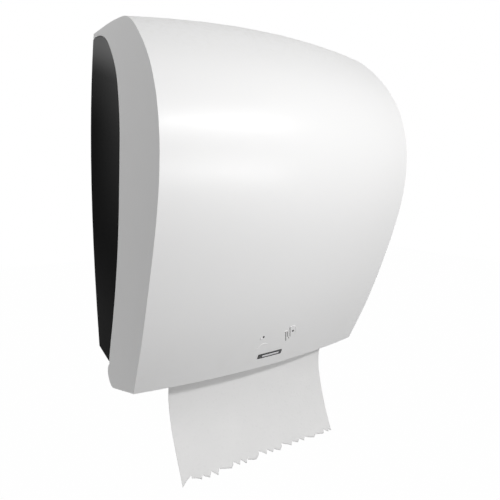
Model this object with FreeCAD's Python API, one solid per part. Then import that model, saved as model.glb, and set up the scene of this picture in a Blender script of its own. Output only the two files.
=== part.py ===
import FreeCAD, Part
import math
import os

# A wall-hung, hands-free towel dispenser for one paper roll.
# Pulling the paper turns a feed drum, a knife inside the drum swings out and cuts the sheet,
# and a spring on the drum's crank turns the drum home and pushes out the next tail.
#
# Places are given as: x across, depth out from the wall, height up from the front's bottom edge.
# Each solid is saved with the origin at the centre of the wall screws, on the wall face.

# Cover, millimetres
head_gap = 24.0
side_gap = 11.0
front_gap = 5.5
front_crown = 17.0
top_arch = 8.0
cover_wall = 3.0
lip_reach = 18.0

# Hinge of the cover
hinge_share = 0.415
hinge_height = -4.5
lobe_radius = 13.7
lobe_boss = 5.0
lobe_end_angle = 115.0
hinge_pin_radius = 4.0
hinge_pin_skin = 1.5
hinge_pin_head_radius = 6.5
hinge_pin_head = 2.5

# Rear housing
housing_share = 0.507
housing_foot_gap = 6.5
housing_low = 11.3
housing_rear_low = 19.9
back_wall = 3.0
lap_reach = 5.0
lap_wall = 3.0
edge_gap = 0.8
lap_gap = 0.5
ear_gap = 6.5
ear_wall = 4.5
ear_radius = 10.0
floor_front_gap = 12.0
floor_front_height = -9.0
top_wall_drop = 5.4
rib_height = 2.5
rib_width = 2.0
rib_rows = 4

# Wall screws
screw_drop = 3.0
screw_spread = 200.0
screw_rise = 150.0
screw_radius = 2.75
screw_pad_radius = 9.0
screw_pad = 1.5

# Fixing bosses and their screws
boss_height = 6.0
boss_radius = 6.0
pilot_radius = 1.95
foot_wall = 3.0
foot_reach = 16.0
fixing_head_radius = 3.8
fixing_head = 2.4
fixing_grip = 7.0
frame_foot_drop = 44.0
frame_foot_rise = 50.0
arm_foot_half = 22.0

# Lock
lock_depth = 28.0
lock_radius = 8.0
lock_length = 16.0
lock_recess = 0.6
lock_boss_wall = 3.5
lock_boss_length = 4.5
key_slot_width = 1.6
key_slot_length = 9.0
key_slot_deep = 5.0
tongue_length = 19.0
tongue_half_width = 5.0
tongue_wall = 3.0
keeper_start = 11.0
keeper_length = 14.0
keeper_wall = 3.0
keeper_shelf = 2.0
keeper_gap = 1.5

# Paper
paper_half_width = 110.0
paper = 0.5
roll_radius = 90.0
roll_back_gap = 7.0
roll_low_gap = 8.0
core_radius = 20.5
core_wall = 1.5

# Roll holders
hub_room = 21.0
arm_wall = 4.0
arm_nose_radius = 17.0
arm_root_half = 34.0
arm_window_shares = [(0.22, 0.52), (0.22, -0.52), (0.72, -0.24), (0.72, 0.24)]
hub_flange_radius = 25.0
hub_flange = 2.5
hub_reach = 12.0
hub_taper = 2.0
hub_stem_radius = 7.0
clip_radius = 10.0
clip_wall = 2.0
hub_spring_wire = 0.8
hub_spring_turns = 4

# Feed drum
drum_back_gap = 16.0
drum_low_gap = 45.4
drum_radius = 46.0
drum_end = 4.0
drum_wall = 3.0
drum_hub_radius = 11.0
axle_radius = 6.0
band_wall = 1.6
band_proud = 0.6
band_width = 12.0
split_turn = 60.0
band_shares = [-0.84, -0.42, 0.0, 0.42, 0.84]

# Knife in the drum, angles in degrees at rest
knife_frame_angle = -75.0
knife_pivot_shares = (0.26, -0.565)
knife_tip_shares = (0.913, -0.217)
knife_end = 6.0
knife_pin_radius = 3.0
knife_hub_radius = 5.0
knife_wall = 3.0
blade_wall = 0.8
blade_height = 15.0
blade_tooth = 3.0
blade_teeth = 35
follower_share = 0.304
follower_turn = -150.0
follower_radius = 5.0
follower_pin_radius = 2.0

# Mechanism frame
cam_room = 8.0
plate_wall = 3.0
cam_groove = 1.5
cam_dip_angle = -105.0
cam_dip_spread = 38.0
bush_radius = 9.0
bush_flange_radius = 12.0
bush_flange = 1.5
clutch_length = 6.0
tie_radius = 4.0
tie_shares = (-0.826, 1.26)

# Crank, drive spring and hand wheel
crank_radius = 24.0
crank_wall = 4.0
crank_throw = 17.0
crank_pin_radius = 3.0
crank_pin_length = 9.0
crank_gap = 7.0
spring_post_rise = 71.0
spring_radius = 5.0
spring_wire = 0.9
spring_turns = 14
eye_radius = 4.3
wheel_radius = 34.0
wheel_width = 16.0
wheel_gap = 6.0
wheel_rim = 4.0
wheel_spokes = 5
wheel_flutes = 24
flute_radius = 2.4

# Pinch roller
pinch_angle = 35.0
pinch_radius = 9.0
pinch_axle_radius = 2.5
pinch_sleeves = 4
pinch_sleeve_width = 34.0
pinch_pivot_out = 15.0
pinch_pivot_rise = 18.0
pinch_pivot_radius = 3.0
pinch_gap = 1.0
pinch_arm_wall = 4.0
pinch_arm_half = 6.0
pinch_beam = 5.0

# Chute and guide
chute_wall = 2.0
chute_top_share = 0.609
chute_low = -8.0
chute_gap = 3.0
chute_mouth = 8.0
chute_flare = 9.0
comb_teeth = 9
comb_width = 9.0
comb_angle = 13.0
guide_reach = 25.0
guide_rise = 11.0
leaf_width = 10.0
leaf_wall = 0.5
leaf_x = 60.0
leaf_set = 3.0
leaf_bend = 5.0

# Paper tail
slot_gap = 15.0
tail_height = -14.0
tail_drop = 103.0
tail_curl = 33.0
tail_teeth = 17
tail_tooth = 5.0
tail_start_angle = 48.0

# Badge
badge_half_width = 17.0
badge_half_height = 3.3
badge_thick = 1.0
badge_proud = 0.4
badge_height = 17.0

# Clearances
run_gap = 0.05
seat_gap = 0.3
soft_gap = 0.4
over = 10.0

# Cover outline in the side view: height share of the cover height, depth share of the crease
# depth, then how much of the crown and of the arch the point takes.
profile_shares = [
    (-0.060, 0.500, 1.00, 0.00), (0.000, 0.561, 1.00, 0.00), (0.150, 0.7125, 1.00, 0.00),
    (0.350, 0.877, 1.00, 0.00), (0.550, 0.9957, 1.00, 0.00), (0.720, 0.998, 1.00, 0.05),
    (0.850, 0.892, 1.00, 0.25), (0.940, 0.729, 0.96, 0.62), (1.000, 0.534, 0.86, 1.00),
    (1.0080, 0.440, 0.60, 0.95), (1.0150, 0.290, 0.20, 0.70), (1.0175, 0.150, 0.00, 0.45),
    (1.0190, 0.000, 0.00, 0.30), (1.0195, -0.080, 0.00, 0.25),
]

# The paper tail below the slot: share of its curl towards the front, share of its drop
tail_shares = [(0.0, 0.0), (0.20, 0.34), (0.55, 0.66), (1.0, 1.0)]

# Where the body is cut across, as shares of half its width
station_shares = [-1.06, -0.75, -0.38, 0.0, 0.38, 0.75, 1.06]

# Side walls in the front view: height share, half-width share
width_shares = [
    (-0.12, 0.957), (0.0, 0.970), (0.2, 0.988), (0.4, 0.999),
    (0.6, 1.000), (0.8, 0.988), (1.0, 0.959), (1.07, 0.945),
]

# Edge between the cover's side and the housing's side: height share, share of the housing depth
edge_shares = [
    (0.0340, 0.360), (0.0707, 0.416), (0.1414, 0.538), (0.2696, 0.733), (0.3900, 0.868),
    (0.5000, 0.947), (0.6070, 0.986), (0.7120, 1.000), (0.8168, 0.936), (0.8743, 0.850),
    (0.9293, 0.690), (0.9738, 0.502), (0.9955, 0.320), (1.0025, 0.200), (1.0045, 0.100), (1.0050, 0.006),
]

# Frame plate outline: share of its reach from the wall, share of its rise about the drum's middle
plate_shares = [
    (0.00, -0.66), (0.20, -0.72), (0.57, -0.92), (0.74, -0.92), (0.79, -0.76),
    (1.00, -0.20), (1.00, 0.60), (0.82, 0.78), (0.26, 0.78), (0.00, 0.58),
]

# Sizes that follow, across: from the paper's width out to the cover
drum_half = paper_half_width + drum_end
knife_half = drum_half - knife_end
pinch_arm_x = drum_half + pinch_gap
plate_x = drum_half + cam_room
arm_x = paper_half_width + hub_room
axle_left = plate_x + crank_gap
wheel_x = plate_x + clutch_length + wheel_gap
axle_right = wheel_x + wheel_width + wheel_rim / 2
cover_half_width = axle_right + side_gap

# Sizes that follow, up: from the drum's radius and the roll's radius to the cover's height
drum_height = drum_radius + band_proud + drum_low_gap
pinch_pivot_height = drum_height + drum_radius + pinch_pivot_rise
guide_height = pinch_pivot_height + guide_rise
roll_height = guide_height + cover_wall + roll_low_gap + roll_radius
screw_height = roll_height - screw_drop
cover_height = roll_height + roll_radius + head_gap
spring_post_height = drum_height + spring_post_rise
tie_height = drum_height + tie_shares[1] * drum_radius
chute_top = drum_height - chute_top_share * drum_radius
frame_foot_low = drum_height - frame_foot_drop
frame_foot_high = drum_height + frame_foot_rise

# Sizes that follow, out from the wall
drum_depth = drum_radius + drum_back_gap
pinch_pivot_depth = drum_depth + drum_radius + pinch_pivot_out
guide_depth = pinch_pivot_depth - guide_reach
tie_depth = drum_depth + tie_shares[0] * drum_radius
roll_depth = roll_radius + roll_back_gap
crease_depth = roll_depth + roll_radius + front_gap
housing_depth = crease_depth * housing_share
hinge_depth = housing_depth * hinge_share
housing_foot = hinge_depth - housing_foot_gap
tail_depth = profile_shares[1][1] * crease_depth - slot_gap
floor_front_depth = tail_depth - floor_front_gap
top_wall_depth = lock_depth - tongue_length - keeper_gap

# The knife inside the drum
knife_pivot_out = knife_pivot_shares[0] * drum_radius
knife_pivot_side = knife_pivot_shares[1] * drum_radius
knife_tip_out = knife_tip_shares[0] * drum_radius
knife_tip_side = knife_tip_shares[1] * drum_radius
follower_arm = follower_share * drum_radius

side_wall = cover_wall + lap_gap
front_reach = crease_depth + front_crown + over
height_reach = cover_height * 1.05 + top_arch + over
width_reach = cover_half_width + over
hinge_spot = (hinge_depth, hinge_height)
roll_spot = (roll_depth, roll_height)
drum_spot = (drum_depth, drum_height)
boss_top = back_wall + boss_height


def spot(x, depth, height):
    """The point at a place across, out from the wall and up."""
    return FreeCAD.Vector(x, -depth, height)


def polar(centre, radius, angle):
    """A side-view place at an angle in degrees up from straight out of the wall."""
    turn = math.radians(angle)
    return (centre[0] + radius * math.cos(turn), centre[1] + radius * math.sin(turn))


def straight(places, x=0.0):
    """Straight edges through side-view places."""
    return [Part.makeLine(spot(x, *a), spot(x, *b)) for a, b in zip(places, places[1:])]


def smooth(points):
    """One smooth edge through points in space."""
    curve = Part.BSplineCurve()
    curve.interpolate(points)
    return curve.toShape()


def smooth_side(places, x=0.0):
    """One smooth edge through side-view places."""
    return smooth([spot(x, *place) for place in places])


def smooth_from(before, places):
    """One smooth edge through side-view places that carries on from the place before them."""
    points = [spot(0, *place) for place in places]
    curve = Part.BSplineCurve()
    start = points[0] - spot(0, *before)
    end = points[-1] - points[-2]
    curve.interpolate(points, InitialTangent=start, FinalTangent=end)
    return curve.toShape()


def bow(start, middle, end, x=0.0):
    """An arc through three side-view places."""
    return Part.Arc(spot(x, *start), spot(x, *middle), spot(x, *end)).toShape()


def slab(edges, x0, x1):
    """A side-view outline made solid from x0 to x1."""
    face = Part.Face(Part.Wire(edges))
    face.translate(FreeCAD.Vector(x0, 0, 0))
    return face.extrude(FreeCAD.Vector(x1 - x0, 0, 0))


def plate(places, x0, x1, rounding=0.0):
    """A side-view polygon made solid, with its corners rounded."""
    solid = slab(straight(places + places[:1]), x0, x1)
    if rounding:
        corners = [e for e in solid.Edges if abs(e.tangentAt(e.FirstParameter).x) > 0.99]
        solid = solid.makeFillet(rounding, corners)
    return solid


def rod(centre, radius, x0, x1):
    """A round bar across the object."""
    return Part.makeCylinder(radius, x1 - x0, spot(x0, *centre), FreeCAD.Vector(1, 0, 0))


def pipe(centre, radius, bore, x0, x1):
    """A round bar with a bore."""
    return rod(centre, radius, x0, x1).cut(rod(centre, bore, x0 - over, x1 + over))


def block(x0, x1, depth0, depth1, height0, height1):
    """A box between two places on each axis."""
    return Part.makeBox(x1 - x0, depth1 - depth0, height1 - height0, spot(x0, depth1, height0))


def post(x, height, radius, depth0, depth1):
    """A round boss that stands out from the wall."""
    length = depth1 - depth0
    return Part.makeCylinder(radius, length, spot(x, depth0, height), FreeCAD.Vector(0, -1, 0))


def fuse(shapes):
    """Join shapes into one and drop the seams."""
    first = shapes[0]
    return first.fuse(shapes[1:]).removeSplitter() if len(shapes) > 1 else first


def mirrored(shape):
    """The same shape on the other side."""
    return shape.mirror(FreeCAD.Vector(0, 0, 0), FreeCAD.Vector(1, 0, 0))


def turned(shape, centre, angle):
    """The shape turned about an axis across the object, towards the top at the front."""
    copy = shape.copy()
    copy.rotate(spot(0, *centre), FreeCAD.Vector(1, 0, 0), -angle)
    return copy


def save(name, shape):
    """Write one sub-part, lowered so that the wall screws' centre is the origin."""
    kept = shape.copy()
    kept.translate(FreeCAD.Vector(0, 0, -screw_height))
    kept.exportStep("parts/" + name + ".step")


def shifted(places, distance):
    """A run of side-view places moved square to itself, to the right of its direction."""
    moved = []
    for index, (depth, height) in enumerate(places):
        before = places[max(index - 1, 0)]
        after = places[min(index + 1, len(places) - 1)]
        run = (after[0] - before[0], after[1] - before[1])
        size = math.hypot(*run)
        moved.append((depth + distance * run[1] / size, height - distance * run[0] / size))
    return moved


def profile_places(station, inset):
    """The front and top of the cover at one station across it, set in by a wall."""
    swell = 1.0 - station ** 2
    places = [
        (depth * crease_depth + crown * front_crown * swell,
         height * cover_height + arch * top_arch * swell)
        for height, depth, crown, arch in profile_shares
    ]
    return shifted(places, -inset)


def body_loft(inset):
    """The crowned body, without its sides, open past the wall and below the bottom edge."""
    sections = []
    back = -(over + inset)
    low = cover_height * profile_shares[0][0] - over - inset
    for station in station_shares:
        x = station * cover_half_width
        places = profile_places(station, inset)
        rest = [places[-1], (back - over, places[-1][1]), (back - over, low), (places[0][0], low), places[0]]
        sections.append(Part.Wire([smooth_side(places, x)] + straight(rest, x)))
    return Part.makeLoft(sections, True, False)


def width_points(inset):
    """The right side of the body in the front view, set in by a wall."""
    return [
        FreeCAD.Vector(width * cover_half_width - inset, 0, height * cover_height)
        for height, width in width_shares
    ]


def width_solid(inset):
    """All that lies between the two sides."""
    right = width_points(inset)
    left = [FreeCAD.Vector(-p.x, 0, p.z) for p in reversed(right)]
    edges = [
        smooth(right), Part.makeLine(right[-1], left[0]),
        smooth(left), Part.makeLine(left[-1], right[0]),
    ]
    face = Part.Face(Part.Wire(edges))
    face.translate(FreeCAD.Vector(0, 2 * over, 0))
    return face.extrude(FreeCAD.Vector(0, -(front_reach + 2 * over), 0))


def half_width_at(height):
    """Half the body's width at a height."""
    curve = Part.BSplineCurve()
    curve.interpolate(width_points(0.0))
    low, high = curve.FirstParameter, curve.LastParameter
    for _ in range(40):
        middle = (low + high) / 2
        if curve.value(middle).z < height:
            low = middle
        else:
            high = middle
    return curve.value(low).x


def body_solid(inset):
    """The whole body, set in by a wall."""
    return body_loft(inset).common(width_solid(inset))


def side_band(outer, inner):
    """What lies between two insets of the sides."""
    return width_solid(outer).cut(width_solid(inner))


def edge_places(shift):
    """The edge between cover and housing, from the hinge up, moved towards the front."""
    places = [(depth * housing_depth, height * cover_height) for height, depth in edge_shares]
    return shifted(places, shift)


def edge_top():
    """The greatest height of the edge between cover and housing."""
    return max(height for depth, height in edge_places(0.0))


def lobe_tangent():
    """Where the cover's bottom edge meets the hinge lobe, as an angle."""
    corner = (profile_shares[1][1] * crease_depth, 0.0)
    run = (corner[0] - hinge_depth, corner[1] - hinge_height)
    return math.degrees(math.atan2(run[1], run[0]) - math.acos(lobe_radius / math.hypot(*run)))


def cover_side():
    """The cover's outline in the side view, open at the front and top."""
    corner = (profile_shares[1][1] * crease_depth, 0.0)
    start = polar(hinge_spot, lobe_radius, lobe_tangent())
    middle = polar(hinge_spot, lobe_radius, (lobe_tangent() + lobe_end_angle) / 2 + 180.0)
    end = polar(hinge_spot, lobe_radius, lobe_end_angle)
    edge = edge_places(0.0)
    outer = [edge[-1], (edge[-1][0], height_reach), (front_reach, height_reach), (front_reach, 0.0)]
    edges = straight(outer + [corner, start])
    edges.append(bow(start, middle, end))
    edges += straight([end, edge[0]])
    edges.append(smooth_side(edge))
    return slab(edges, -width_reach, width_reach)


def front_line(height):
    """Depth of the front's middle at a height, and its lean in degrees from upright."""
    curve = Part.BSplineCurve()
    curve.interpolate([spot(0, *place) for place in profile_places(0.0, 0.0)])
    low, high = curve.FirstParameter, curve.parameter(spot(0, *profile_places(0.0, 0.0)[4]))
    for _ in range(40):
        middle = (low + high) / 2
        if curve.value(middle).z < height:
            low = middle
        else:
            high = middle
    along = curve.tangent(low)[0]
    return -curve.value(low).y, math.degrees(math.atan2(-along.y, along.z))


def badge_block(grow, thick, proud):
    """A small upright plate on the middle of the front, leaning as the front does."""
    depth, lean = front_line(badge_height)
    half_x = badge_half_width + grow
    half_z = badge_half_height + grow
    box = block(-half_x, half_x, depth + proud - thick, depth + proud,
                badge_height - half_z, badge_height + half_z)
    corners = [e for e in box.Edges if abs(e.tangentAt(e.FirstParameter).y) > 0.99]
    box = box.makeFillet(grow + badge_half_height * 0.3, corners)
    box.rotate(spot(0, depth, badge_height), FreeCAD.Vector(1, 0, 0), lean)
    return box


def top_height(depth):
    """Height of the middle of the cover's top at a depth."""
    places = profile_places(0.0, 0.0)
    for (depth0, height0), (depth1, height1) in zip(places, places[1:]):
        if height0 > cover_height * 0.9 and depth1 <= depth <= depth0:
            return height0 + (height1 - height0) * (depth0 - depth) / (depth0 - depth1)
    return places[-1][1]


def front_cover():
    """The white shell, with its bottom lip, hinge lobes, lock boss and plate recess."""
    outer = body_solid(0.0)
    shell = outer.cut(body_solid(cover_wall)).common(cover_side())
    corner = profile_shares[1][1] * crease_depth
    lip_back = corner + front_crown - lip_reach
    lip = outer.common(block(-width_reach, width_reach, lip_back, front_reach, 0.0, cover_wall))
    bosses = side_band(0.0, lobe_boss).common(rod(hinge_spot, lobe_radius, -width_reach, width_reach))
    lock_top = top_height(lock_depth)
    boss_length = cover_wall + lock_boss_length
    lock_boss = Part.makeCylinder(
        lock_radius + lock_boss_wall, boss_length, spot(0, lock_depth, lock_top - boss_length))
    lock_boss = lock_boss.common(outer)
    cover = fuse([shell, lip, bosses, lock_boss])
    lock_bore = Part.makeCylinder(
        lock_radius + run_gap, boss_length + 2 * over, spot(0, lock_depth, lock_top - boss_length - over))
    hinge_half = half_width_at(hinge_height)
    bore_x = hinge_half - hinge_pin_skin
    bore = rod(hinge_spot, hinge_pin_radius + run_gap, bore_x - lobe_boss - over, bore_x)
    cover = cover.cut([lock_bore, bore, mirrored(bore)])
    return cover.cut(badge_block(seat_gap, badge_thick, badge_proud))


def cover_badge():
    """The bare plate set into the front."""
    return badge_block(0.0, badge_thick - seat_gap, badge_proud)


def hinge_pins():
    """Two headed pins through the housing's ears into the cover's lobes."""
    end = half_width_at(hinge_height) - hinge_pin_skin - seat_gap
    ear_inside = half_width_at(hinge_height) - ear_gap - ear_wall
    shank = rod(hinge_spot, hinge_pin_radius, ear_inside - hinge_pin_head, end)
    head_end = ear_inside - seat_gap
    head = rod(hinge_spot, hinge_pin_head_radius, head_end - hinge_pin_head, head_end)
    pin = fuse([shank, head])
    return Part.makeCompound([pin, mirrored(pin)])


def fixing_places():
    """Where the mechanism frame and the roll arms are screwed to the housing, x and height."""
    frame_x = plate_x + plate_wall + foot_reach * 0.55
    arm_foot_x = arm_x - foot_reach * 0.55
    return {
        "frame": [(frame_x, frame_foot_low), (frame_x, frame_foot_high)],
        "arm": [(arm_foot_x, roll_height - arm_foot_half), (arm_foot_x, roll_height + arm_foot_half)],
    }


def all_fixings():
    """Every fixing screw's place on both sides."""
    right = [place for group in fixing_places().values() for place in group]
    return right + [(-x, height) for x, height in right]


def housing_side(shift):
    """The housing's outline in the side view; the shift moves its front edge."""
    edge = edge_places(shift)
    slope = (housing_low - housing_rear_low) / housing_foot
    foot = (edge[0][0], housing_rear_low + slope * edge[0][0])
    top = edge[-1][1]
    places = [edge[-1], (0.0, top), (0.0, housing_rear_low)]
    if foot[1] < edge[0][1] - seat_gap:
        places.append(foot)
    edges = straight(places + [edge[0]])
    edges.append(smooth_side(edge))
    return slab(edges, -width_reach, width_reach)


def hinge_ears():
    """The two ears under the housing that carry the hinge pins."""
    wide = ear_radius * 1.2
    rise = ear_radius * 3.0
    web = [
        (hinge_depth - ear_radius, hinge_height), (hinge_depth + ear_radius, hinge_height),
        (hinge_depth + ear_radius * 0.4, hinge_height + rise), (hinge_depth - wide, hinge_height + rise),
    ]
    web = plate(web, -width_reach, width_reach)
    ear = fuse([web, rod(hinge_spot, ear_radius, -width_reach, width_reach)])
    return ear.common(side_band(ear_gap, ear_gap + ear_wall))


def rear_housing():
    """The dark back: wall plate, crescent sides with a lap under the cover, floor and top."""
    top = edge_top() - edge_gap
    inside = side_wall + lap_wall
    wall = side_band(0.0, side_wall + seat_gap).common(housing_side(-edge_gap))
    ahead = block(-width_reach, width_reach, 0.0, front_reach, housing_rear_low, height_reach)
    lap = side_band(side_wall, inside).common(housing_side(lap_reach)).common(body_loft(side_wall))
    lap = lap.common(ahead)
    back = width_solid(side_wall).common(
        block(-width_reach, width_reach, 0.0, back_wall, housing_rear_low, top))
    top_high = top - top_wall_drop + cover_wall
    top_low = top_high - cover_wall
    roof = width_solid(side_wall).common(
        block(-width_reach, width_reach, 0.0, top_wall_depth, top_low, top_high))
    slope_low = (housing_foot, housing_low)
    floor_line = [(0.0, housing_rear_low), slope_low, (floor_front_depth, floor_front_height)]
    floor_top = [(depth, height + cover_wall) for depth, height in reversed(floor_line)]
    floor = width_solid(inside - seat_gap).common(plate(floor_line + floor_top, -width_reach, width_reach))
    pieces = [back, wall, lap, roof, floor, hinge_ears()]
    pieces += [post(x, height, boss_radius, back_wall - seat_gap, boss_top) for x, height in all_fixings()]
    pieces += [post(x, height, screw_pad_radius, back_wall - seat_gap, back_wall + screw_pad)
               for x, height in wall_screws()]
    pieces += back_ribs()
    housing = fuse(pieces)
    cuts = [post(x, height, pilot_radius, back_wall - seat_gap, boss_top + over)
            for x, height in all_fixings()]
    cuts += [post(x, height, screw_radius, -over, boss_top + over) for x, height in wall_screws()]
    ear_x = half_width_at(hinge_height) - ear_gap - ear_wall
    pin_hole = rod(hinge_spot, hinge_pin_radius, ear_x - over, ear_x + over)
    return housing.cut(cuts + [pin_hole, mirrored(pin_hole)])


def lock_keeper():
    """The catch plate under the top wall, with its lip in front of the lock's tongue."""
    high = edge_top() - edge_gap - top_wall_drop
    x1 = keeper_start + keeper_length
    front = lock_depth + tongue_half_width + keeper_gap + keeper_wall
    shelf = block(keeper_start, x1, back_wall, front, high - keeper_shelf, high)
    lip = block(keeper_start, x1, front - keeper_wall, front, high - tongue_wall * 2.0, high)
    return fuse([shelf, lip])


def wall_screws():
    """The four wall screw holes."""
    return [
        (x * screw_spread / 2, screw_height + z * screw_rise / 2)
        for x in (-1, 1) for z in (-1, 1)
    ]


def back_ribs():
    """Stiffening ribs on the inside of the back wall."""
    ribs = []
    top = cover_height * 0.97
    low = housing_rear_low
    for share in (-0.42, -0.14, 0.14, 0.42):
        x = share * cover_half_width
        ribs.append(block(x - rib_width / 2, x + rib_width / 2, back_wall - seat_gap,
                          back_wall + rib_height, low, top))
    reach = cover_half_width * 0.9
    for row in range(rib_rows):
        height = low + (top - low) * (row + 1) / (rib_rows + 1)
        ribs.append(block(-reach, reach, back_wall - seat_gap, back_wall + rib_height,
                          height - rib_width / 2, height + rib_width / 2))
    return ribs


def fixing_screws(group):
    """Pan-head screws through the feet into the housing's bosses, both sides."""
    screws = []
    seat = boss_top + foot_wall
    for x, height in fixing_places()[group]:
        for side in (-1, 1):
            shank = post(side * x, height, pilot_radius - run_gap, seat - fixing_grip, seat + fixing_head)
            head = post(side * x, height, fixing_head_radius, seat, seat + fixing_head)
            top = seat + fixing_head
            edge = [e for e in head.Edges if abs(e.CenterOfMass.y + top) < run_gap and e.Closed]
            head = head.makeFillet(fixing_head * 0.45, edge)
            slot = block(side * x - key_slot_width / 2, side * x + key_slot_width / 2,
                         seat + fixing_head / 2, seat + fixing_head + over,
                         height - fixing_head_radius - over, height + fixing_head_radius + over)
            screws.append(fuse([shank, head]).cut(slot))
    return Part.makeCompound(screws)


def lock_barrel():
    """The key barrel in the cover's top, with a plain key slot."""
    top = top_height(lock_depth) - lock_recess - cover_wall * 0.2
    barrel = Part.makeCylinder(lock_radius, lock_length, spot(0, lock_depth, top - lock_length))
    slot = block(-key_slot_length / 2, key_slot_length / 2, lock_depth - key_slot_width / 2,
                 lock_depth + key_slot_width / 2, top - key_slot_deep, top + over)
    neck_length = tongue_wall * 2.0
    neck = Part.makeCylinder(
        lock_radius * 0.45, neck_length, spot(0, lock_depth, top - lock_length - neck_length))
    return fuse([barrel, neck]).cut(slot)


def lock_tongue():
    """The tongue under the barrel: it points to the wall when unlocked."""
    top = top_height(lock_depth) - lock_recess - cover_wall * 0.2 - lock_length
    arm = block(-tongue_half_width, tongue_half_width, lock_depth - tongue_length, lock_depth,
                top - tongue_wall, top)
    end = Part.makeCylinder(tongue_half_width, tongue_wall, spot(0, lock_depth, top - tongue_wall))
    hole = Part.makeCylinder(
        lock_radius * 0.45, tongue_wall + 2 * over, spot(0, lock_depth, top - tongue_wall - over))
    return fuse([arm, end]).cut(hole)


def paper_roll():
    """The wound paper on its core."""
    return pipe(roll_spot, roll_radius, core_radius, -paper_half_width, paper_half_width)


def roll_core():
    """The cardboard tube."""
    return pipe(roll_spot, core_radius, core_radius - core_wall, -paper_half_width, paper_half_width)


def roll_arm():
    """A roll holder: a plate out from the wall to the roll's middle, with its foot."""
    places = [(boss_top, roll_height - arm_root_half), (boss_top, roll_height + arm_root_half)]
    lean = math.degrees(math.asin((arm_root_half - arm_nose_radius) / (roll_depth - boss_top)))
    upper = polar(roll_spot, arm_nose_radius, 90.0 - lean)
    lower = polar(roll_spot, arm_nose_radius, lean - 90.0)
    nose = polar(roll_spot, arm_nose_radius, 0.0)
    edges = straight([lower, places[0], places[1], upper]) + [bow(upper, nose, lower)]
    arm = slab(edges, arm_x, arm_x + arm_wall)
    reach = roll_depth - boss_top
    window = [(boss_top + a * reach, roll_height + b * arm_root_half) for a, b in arm_window_shares]
    window = plate(window, arm_x - over, arm_x + arm_wall + over, arm_wall)
    collar = rod(roll_spot, arm_nose_radius, arm_x, arm_x + arm_wall * 1.5)
    window = window.cut(rod(roll_spot, arm_nose_radius + arm_wall, arm_x - over, arm_x + arm_wall + over))
    foot = block(arm_x - foot_reach, arm_x + arm_wall, boss_top, boss_top + foot_wall,
                 roll_height - arm_root_half, roll_height + arm_root_half)
    arm = fuse([arm.cut(window), collar, foot])
    holes = [post(x, height, pilot_radius + run_gap, boss_top - over, boss_top + over)
             for x, height in fixing_places()["arm"]]
    bore = rod(roll_spot, hub_stem_radius + run_gap, arm_x - over, arm_x + 2 * over)
    return arm.cut(holes + [bore])


def hub_head(start):
    """The spigot that enters the core and the flange against the roll's end."""
    fit = core_radius - core_wall - seat_gap
    flange = rod(roll_spot, hub_flange_radius, start, start + hub_flange)
    spigot = Part.makeCone(fit, fit - hub_taper, hub_reach, spot(start, *roll_spot), FreeCAD.Vector(-1, 0, 0))
    hollow = rod(roll_spot, fit - hub_taper - cover_wall, start - hub_reach - over, start)
    return fuse([flange, spigot.cut(hollow)])


def sprung_hub():
    """The right-hand hub, which slides out to free the roll."""
    start = paper_half_width + seat_gap
    stem = rod(roll_spot, hub_stem_radius, start, arm_x + arm_wall * 1.5 + seat_gap + clip_wall)
    return fuse([hub_head(start), stem])


def hub_clip():
    """The ring that keeps the sprung hub in its arm."""
    start = arm_x + arm_wall * 1.5 + seat_gap
    return pipe(roll_spot, clip_radius, hub_stem_radius, start, start + clip_wall)


def fixed_hub():
    """The left-hand hub, fixed in its arm."""
    start = paper_half_width + seat_gap
    neck = rod(roll_spot, hub_stem_radius * 1.6, start, arm_x)
    stem = rod(roll_spot, hub_stem_radius, start, arm_x + arm_wall * 1.5)
    return mirrored(fuse([hub_head(start), neck, stem]))


def biarc(start, start_way, end, end_way):
    """Two arcs that leave one point and reach another along given ways."""
    chord = end - start
    both = start_way + end_way
    a = both.dot(both) - 4.0
    b = -2.0 * chord.dot(both)
    c = chord.dot(chord)
    reach = (-b - math.sqrt(b * b - 4.0 * a * c)) / (2.0 * a)
    first = start + start_way * reach
    last = end - end_way * reach
    middle = (first + last) * 0.5
    return [fillet_arc(start, first, middle), fillet_arc(middle, last, end)]


def fillet_arc(start, corner, end):
    """The arc that touches both lines from a corner, at two points as far from it."""
    reach = (start - corner).Length
    way = (start + end) * 0.5 - corner
    radius = reach * (start - end).Length / 2 / way.Length
    depth = math.hypot(reach, radius) - radius
    way.normalize()
    return Part.Arc(start, corner + way * depth, end).toShape()


def coil(base, axis, side, radius, wire, turns, pitch):
    """A round wire wound about an axis from a base point, as one pipe on tangent arcs."""
    other = axis.cross(side)
    steps = int(turns * 4)

    def place(step):
        turn = step * math.pi / 2
        round_about = side * (radius * math.cos(turn)) + other * (radius * math.sin(turn))
        return base + round_about + axis * (pitch * step / 4)

    def way(step):
        turn = step * math.pi / 2
        along = side * (-radius * math.sin(turn)) + other * (radius * math.cos(turn))
        along += axis * (pitch / (2 * math.pi))
        along.normalize()
        return along

    edges = []
    for step in range(steps):
        edges += biarc(place(step), way(step), place(step + 1), way(step + 1))
    path = Part.Wire(edges)
    section = Part.Wire(Part.Circle(place(0), way(0), wire).toShape())
    return path.makePipeShell([section], True, False)


def hub_spring():
    """The compression spring between the sprung hub and its arm."""
    start = paper_half_width + seat_gap + hub_flange + seat_gap + hub_spring_wire
    end = arm_x - seat_gap - hub_spring_wire
    radius = hub_stem_radius + hub_spring_wire + 1.2 * hub_spring_wire
    return coil(spot(start, *roll_spot), FreeCAD.Vector(1, 0, 0), FreeCAD.Vector(0, 0, 1),
                radius, hub_spring_wire, hub_spring_turns, (end - start) / hub_spring_turns)


def knife_place(out, side):
    """A place in the knife's own frame, whose first axis leaves the drum's middle."""
    reach = math.hypot(out, side)
    return polar(drum_spot, reach, knife_frame_angle + math.degrees(math.atan2(side, out)))


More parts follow.
